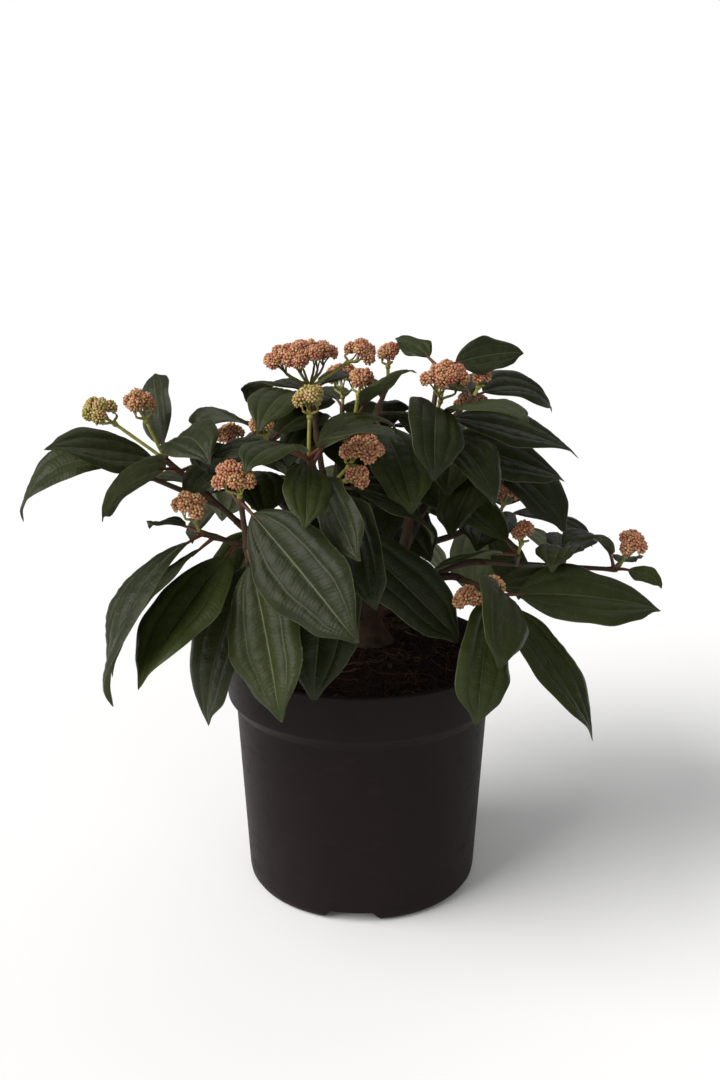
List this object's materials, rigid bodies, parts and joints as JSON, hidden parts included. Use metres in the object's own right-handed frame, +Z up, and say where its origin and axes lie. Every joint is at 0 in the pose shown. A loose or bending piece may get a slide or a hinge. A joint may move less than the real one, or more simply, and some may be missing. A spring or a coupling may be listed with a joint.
{
  "type": "potted evergreen viburnum shrub",
  "caption": "Small evergreen shrub with a short trunk, forking boughs, long leathery leaves and bud clusters, growing in a round nursery pot.",
  "frame": {"origin": "middle of the flat underside of the pot", "axes": "+X to the right of the front view, +Y away from the front view, +Z up"},
  "size_m": [0.4272, 0.3761, 0.3865],
  "materials": {
    "pot": "matte moulded black plastic",
    "soil": "dark fibrous potting compost",
    "bark": "brown woody bark",
    "foliage": "leathery dark green leaves with a soft gloss"
  },
  "bodies": {
    "root": {"pot": "pot", "soil": "soil", "trunk": "bark", "left_low_bough": "bark", "left_bough": "bark", "front_left_bough": "bark", "front_bough": "bark", "top_left_bough": "bark", "top_bough": "bark", "top_right_bough": "bark", "right_front_bough": "bark", "right_bough": "bark", "back_left_bough": "bark", "back_bough": "bark", "back_right_bough": "bark", "low_back_left_bough": "bark", "low_back_bough": "bark", "low_back_right_bough": "bark", "left_low_spray": "foliage", "left_spray": "foliage", "front_left_spray": "foliage", "front_spray": "foliage", "top_left_spray": "foliage", "top_spray": "foliage", "top_right_spray": "foliage", "right_front_spray": "foliage", "right_spray": "foliage", "back_left_spray": "foliage", "back_spray": "foliage", "back_right_spray": "foliage", "low_back_left_spray": "foliage", "low_back_spray": "foliage", "low_back_right_spray": "foliage"}
  },
  "joints": []
}
